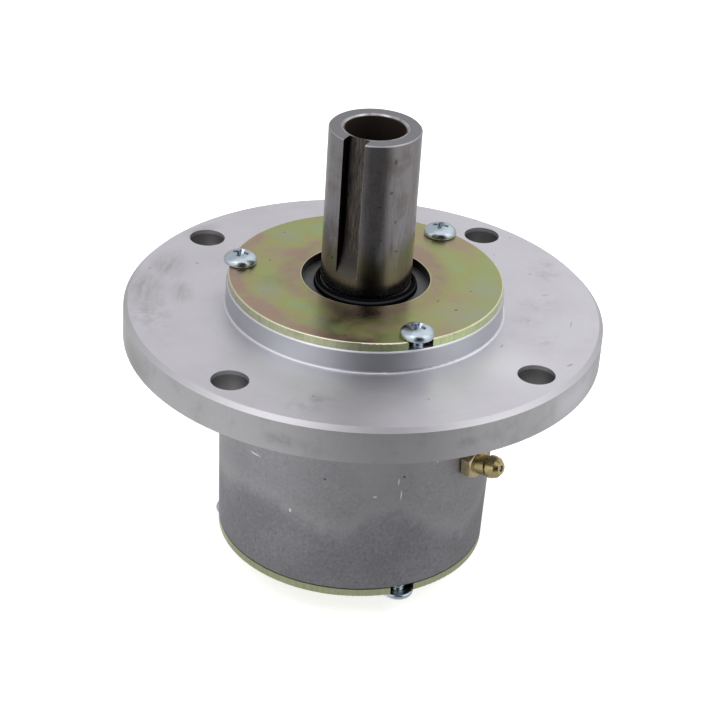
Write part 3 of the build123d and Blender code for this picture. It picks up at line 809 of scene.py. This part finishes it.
pressed = Finish("seal_case_steel")
press_marks = pressed.cloud(3.0, detail=3.0, rough=0.6)
pressed_colour = pressed.colours(press_marks, pressed_dark, pressed_pale)
pressed_height = pressed.calc("MULTIPLY", press_marks, seal_grain)
pressed_finish = pressed.dress(pressed_colour, case_roughness, pressed_height)
rubber = Finish("seal_rubber", metallic=0.0, Specular_IOR_Level=0.01)
rubber_bloom = rubber.cloud(2.0, detail=3.0, rough=0.6)
# A thin grey ring along the lip's crest is a painted highlight.
on_crest = rubber.within(rubber.radius, lip_crest_radius - 0.14, lip_crest_radius + 0.14, 0.08)
rubber_colour = rubber.coats(rubber_black, (rubber_bloom, rubber_grey), (on_crest, crest_highlight))
rubber_height = rubber.calc("MULTIPLY", rubber_bloom, seal_grain)
rubber_finish = rubber.dress(rubber_colour, rubber_roughness, rubber_height)
for end in ("upper", "lower"):
    wear(pressed_finish, f"{end}_seal_case")
    wear(rubber_finish, f"{end}_seal_lip")
    wear(spring_finish, f"{end}_seal_garter_spring")


# Cover plates: stamped steel, plated with zinc and yellow chromate. The chromate's film shows
# olive, green, gold and pink where it is thicker or thinner, and brown where oil has lain on it.
cover_radius = 38.4
window_radius = 17.95
upper_cover_top = 8.75
lower_cover_top = -70.8
lower_cover_bottom = -73.2
film_depth = 3
film_pink = (0.46, 0.335, 0.255, 1)
film_gold = (0.46, 0.395, 0.235, 1)
film_yellow = (0.45, 0.437, 0.195, 1)
film_olive = (0.42, 0.465, 0.19, 1)
film_green = (0.40, 0.48, 0.24, 1)
film_grey = (0.26, 0.28, 0.20, 1)
film_mint = (0.42, 0.445, 0.34, 1)
oil_brown = (0.22, 0.19, 0.11, 1)
window_wall_shade = (0.012, 0.011, 0.008, 1)
window_edge_highlight = (0.66, 0.62, 0.42, 1)
rim_highlight_cream = (0.78, 0.76, 0.55, 1)
edge_green = (0.52, 0.62, 0.32, 1)
edge_khaki = (0.51, 0.55, 0.35, 1)
green_patches = flat_marks(upper_cover_top, film_depth, (
    (30, -4, 13, 12, 0), (-22, -15, 7, 12, 30), (-8, 30, 14, 7, 0), (-19, 22, 11, 8, -40),
    (-14, -29, 10, 6, -25), (24, 14, 7, 12, 20),
))
pink_patches = flat_marks(upper_cover_top, film_depth, (
    (-33, 3, 6, 13, 0), (-29, -18, 4, 9, 30), (-31, 15, 7, 7, 0), (20, 8, 5, 13, 0), (24, 21, 8, 10, 45),
    (4, -29, 9, 7, 0), (-16, 13, 8, 5, -35), (7, -32, 9, 5, 10), (12, 34, 12, 4, 0),
))
mint_patches = flat_marks(upper_cover_top, film_depth, (
    (24, -23, 14, 11, 40), (32, -10, 8, 11, 0), (-20, 25, 8, 6, -40), (4, 31, 8, 5, 0), (-28, -8, 6, 8, 0),
    (-16, -26, 7, 5, -30),
))
grey_patches = flat_marks(upper_cover_top, film_depth, ((-26, -3, 6, 6, 0),))
oil_patches = flat_marks(upper_cover_top, film_depth, ((-3, -26, 12, 11, 0), (5, -23, 8, 7, 0)))
dull_patches = flat_marks(upper_cover_top, film_depth, ((-5, -31, 14, 9, 0),))
plate_pits = flat_marks(upper_cover_top, scratch_depth, (
    (22.0, -20.6, 0.55, 0.45, 0), (17.9, -15.4, 0.5, 0.4, 0), (-26, 10, 0.4, 0.4, 0),
    (28, -10, 0.35, 0.35, 0), (-10.1, -33.5, 0.5, 0.3, 0), (-20, 27, 0.35, 0.35, 0),
))

plated = Finish("yellow_zinc_steel")
broken = plated.span(plated.cloud(5.0, detail=3.0, rough=0.6), 0.3, 0.7, 0.35, 1.25)
near_window = plated.span(plated.radius, 21.0, 26.5, 1.0, 0.0)
left_margin = plated.every(
    plated.span(plated.radius, 33.0, 36.5),
    plated.span(plated.towards(-0.93, -0.36), 4, 22),
)
film = plated.total(
    plated.span(plated.cloud(11.0, detail=3.0, rough=0.55), 0.28, 0.72, 0.14, 0.86),
    plated.every(plated.marks(green_patches, soft=1.0), broken, 0.42),
    plated.every(plated.marks(pink_patches, soft=1.0), broken, -0.46),
    plated.every(plated.either(near_window, left_margin), broken, -0.50),
)
film_colour = plated.colour_run(film, (
    (0.00, film_pink), (0.25, film_gold), (0.50, film_yellow), (0.75, film_olive), (1.00, film_green),
))
shear_streaks = plated.cloud(1.0, detail=2.0, rough=0.6, place=plated.stretched(1.6, 1.6, 0.2))
upper_side_colour = plated.colours(plated.span(plated.x, -10, 12), edge_khaki, edge_green)
side_colour = plated.coats(
    edge_khaki,
    (plated.span(plated.z, 0.0, 1.0), upper_side_colour),
    (plated.span(shear_streaks, 0.40, 0.85, 0.0, 0.35), oil_brown),
)
on_upper_side = plated.every(
    plated.span(plated.radius, cover_radius - 0.1, cover_radius - 0.02),
    plated.span(plated.z, upper_cover_top - 0.3, upper_cover_top - 0.2, 1.0, 0.0),
)
on_side = plated.either(
    on_upper_side, plated.span(plated.z, lower_cover_top - 0.05, lower_cover_top + 0.05, 1.0, 0.0),
)
on_rim = plated.every(
    plated.span(plated.radius, cover_radius - 0.42, cover_radius - 0.22),
    plated.within(plated.z, upper_cover_top - 0.30, upper_cover_top + 0.1, 0.06),
)
plate_patchy = plated.cloud(4.0, detail=3.0, rough=0.6)
greyed = plated.every(plated.marks(grey_patches, soft=1.0), plated.span(plate_patchy, 0.3, 0.7, 0.2, 0.8))
minted = plated.every(plated.marks(mint_patches, soft=1.0), plated.span(plate_patchy, 0.3, 0.7, 0.35, 0.95))
oiled = plated.every(plated.marks(oil_patches, soft=1.0), plated.span(plate_patchy, 0.25, 0.75, 0.0, 0.30))
plated_colour = plated.coats(
    film_colour,
    (greyed, film_grey),
    (minted, film_mint),
    (plated.every(near_window, 0.16), oil_brown),
    (oiled, oil_brown),
    (plated.marks(plate_pits), pit_dark),
    (on_side, side_colour),
    # A cream line round the rim of the cover is a painted highlight.
    (on_rim, rim_highlight_cream),
    # A cream line round the window's edge is a painted highlight.
    (plated.span(plated.radius, window_radius + 0.22, window_radius + 0.42, 1.0, 0.0), window_edge_highlight),
    # The window's inner wall is painted near black: painted shade.
    (plated.span(plated.radius, window_radius + 0.05, window_radius + 0.11, 1.0, 0.0), window_wall_shade),
)
plated_rough = plated.total(
    plated.span(plate_patchy, 0.3, 0.7, 0.26, 0.36),
    plated.every(plated.marks(dull_patches, soft=1.0), 0.18),
)
wear(plated.dress(plated_colour, plated_rough), "upper_cover_plate", "lower_cover_plate")


# Cover screws: cold-headed machine screws with pan heads, rolled threads and a tapered cross
# recess, plated with bright zinc. Three hold each cover, in the notches of its rim.
screw_radius = 2.4
screw_root_radius = 1.92
screw_pitch = 1.058
screw_length = 12.7
screw_point = 0.6
head_radius = 4.7
head_height = 3.0
head_side = 0.9
crown_step = 7.5
recess_span = 5.0
recess_width = 1.15
recess_floor_span = 2.0
recess_floor_width = 0.75
recess_depth = 1.9
recess_corner = 1.25
punch_rise = 0.5
punch_top_span = recess_span + 0.8
punch_top_width = recess_width + 0.1
thread_start = -0.5
flank_steepness = 2.4
screw_columns = 48
thread_rows = 8
screw_circle = 35.5
first_screw_angle = 45
screw_spacing = 120
sharp_angle = math.radians(35)
zinc_dark = (0.42, 0.49, 0.56, 1)
zinc_pale = (0.58, 0.65, 0.72, 1)
# Below its widest line the head curves in to its seat, in rows of height and how far in.
head_rim = ((0.55, 0.0), (0.25, 0.10), (0.06, 0.32), (0.0, 0.6))
# Each set of screws has the face its heads sit on, whether they point down, and how far each screw
# was turned when it was tightened.
screw_sets = {
    "upper_cover_screws": (upper_cover_top, False, (25, -10, 40)),
    "lower_cover_screws": (lower_cover_bottom, True, (10, 35, -20)),
}


def screw_profile():
    """Rows of height and radius from the crown down to the point. A thread row has no fixed radius."""
    rows = []
    for step in range(1, round(90 / crown_step) + 1):
        turn = math.radians(90 - crown_step * step)
        rows.append((head_side + (head_height - head_side) * math.sin(turn), head_radius * math.cos(turn)))
    rows += [(height, head_radius - inward) for height, inward in head_rim]
    rows.append((0.0, screw_radius + 0.15))
    rows.append((-0.2, screw_root_radius + 0.12))
    height = thread_start
    while height > screw_point - screw_length:
        rows.append((height, None))
        height -= screw_pitch / thread_rows
    rows.append((0.15 - screw_length, screw_root_radius - 0.25))
    rows.append((-screw_length, screw_root_radius - 0.5))
    return rows


def thread_radius(height, turn):
    """The radius of the rolled thread at a height and a share of a turn, fading out at both ends."""
    phase = (height / screw_pitch + turn) % 1
    flank = min(1.0, flank_steepness * abs(phase - 0.5))
    begin = min(1.0, (thread_start - height) / screw_pitch)
    finish = min(1.0, (height + screw_length - screw_point) / screw_pitch)
    depth = (screw_radius - screw_root_radius) * (1 - flank)
    return screw_root_radius + depth * max(0.0, min(begin, finish))


def add_screw_form(form, place):
    """One screw with no recess, turned about its own axis, added to a mesh form."""
    rings = []
    for height, radius in screw_profile():
        ring = []
        for column in range(screw_columns):
            turn = column / screw_columns
            reach = thread_radius(height, turn) if radius is None else radius
            angle = 2 * math.pi * turn
            point = Vector((reach * math.cos(angle), reach * math.sin(angle), height))
            ring.append(form.verts.new(place @ point / mm_per_metre))
        rings.append(ring)
    for ring, below in zip(rings, rings[1:]):
        for index in range(screw_columns):
            form.faces.new((ring[index - 1], below[index - 1], below[index], ring[index]))
    crown = form.verts.new(place @ Vector((0, 0, head_height)) / mm_per_metre)
    tip = form.verts.new(place @ Vector((0, 0, -screw_length)) / mm_per_metre)
    for index in range(screw_columns):
        form.faces.new((crown, rings[0][index - 1], rings[0][index]))
        form.faces.new((tip, rings[-1][index], rings[-1][index - 1]))


def add_recess_form(form, place):
    """One cross-shaped punch, wide at the crown and narrow at its foot, added to a mesh form."""
    rings = []
    for height, span, width in (
        (head_height + punch_rise, punch_top_span, punch_top_width),
        (head_height - recess_depth, recess_floor_span, recess_floor_width),
    ):
        far, near = span / 2, width / 2
        corner = near * recess_corner
        quarter = ((far, -near), (far, near), (corner, corner))
        ring = []
        for step in range(4):
            turn = Matrix.Rotation(math.pi / 2 * step, 3, "Z")
            for x, y in quarter:
                point = turn @ Vector((x, y, height))
                ring.append(form.verts.new(place @ point / mm_per_metre))
        rings.append(ring)
    top, foot = rings
    for index in range(len(top)):
        form.faces.new((top[index], top[index - 1], foot[index - 1], foot[index]))
    form.faces.new(top)
    form.faces.new(list(reversed(foot)))


zinc = Finish("bright_zinc_steel")
zinc_cloud = zinc.cloud(1.5, detail=3.0, rough=0.6)
zinc_colour = zinc.colours(zinc_cloud, zinc_dark, zinc_pale)
zinc_finish = zinc.dress(zinc_colour, zinc.span(zinc_cloud, 0.3, 0.7, 0.20, 0.28))
wear(zinc_finish, "upper_cover_screws", "lower_cover_screws")
for node_name, (seat, upside_down, turns) in screw_sets.items():
    forms = {"screws": bmesh.new(), "punches": bmesh.new()}
    for index, own_turn in enumerate(turns):
        place = (
            Matrix.Rotation(math.radians(first_screw_angle + screw_spacing * index), 4, "Z")
            @ Matrix.Translation((screw_circle, 0, seat))
            @ Matrix.Rotation(math.pi if upside_down else 0, 4, "X")
            @ Matrix.Rotation(math.radians(own_turn), 4, "Z")
        )
        add_screw_form(forms["screws"], place)
        add_recess_form(forms["punches"], place)
    solids = {}
    for form_name, form in forms.items():
        bmesh.ops.recalc_face_normals(form, faces=form.faces)
        mesh = bpy.data.meshes.new(f"{node_name}_{form_name}")
        form.to_mesh(mesh)
        form.free()
        solids[form_name] = bpy.data.objects.new(f"{node_name}_{form_name}", mesh)
        bpy.context.collection.objects.link(solids[form_name])
    punching = solids["screws"].modifiers.new("recess", "BOOLEAN")
    punching.operation = "DIFFERENCE"
    punching.solver = "EXACT"
    punching.object = solids["punches"]
    punched = bpy.data.meshes.new_from_object(
        solids["screws"].evaluated_get(bpy.context.evaluated_depsgraph_get())
    )
    punched.name = f"threaded_{node_name}"
    for solid in solids.values():
        bpy.data.objects.remove(solid)
    punched.shade_smooth()
    punched.set_sharp_from_angle(angle=sharp_angle)
    punched.materials.clear()
    punched.materials.append(zinc_finish)
    screws = bpy.data.objects.new(f"threaded_{node_name}", punched)
    bpy.context.collection.objects.link(screws)
    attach(screws, "housing")
    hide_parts(node_name)


# Grease fitting: a turned brass nipple on a hexagon base, dulled by handling. The coil spring
# behind its check ball is a copy of the CAD spring.
base_dark = (0.50, 0.405, 0.22, 1)
base_bright = (0.74, 0.64, 0.40, 1)
nipple_dark = (0.42, 0.335, 0.155, 1)
nipple_bright = (0.61, 0.51, 0.26, 1)

for piece, dull_brass, bright_brass in (
    ("base", base_dark, base_bright),
    ("nipple", nipple_dark, nipple_bright),
):
    brass = Finish(f"fitting_{piece}_brass")
    brass_cloud = brass.cloud(1.6, detail=3.0, rough=0.6)
    brass_colour = brass.colours(brass_cloud, dull_brass, bright_brass)
    wear(brass.dress(brass_colour, brass.span(brass_cloud, 0.3, 0.7, 0.22, 0.34)), f"grease_fitting_{piece}")
coil_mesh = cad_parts["grease_check_spring"].data.copy()
coil = bpy.data.objects.new("squeezed_check_spring", coil_mesh)
bpy.context.collection.objects.link(coil)
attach(coil, "housing")
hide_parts("grease_check_spring")
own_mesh(coil)
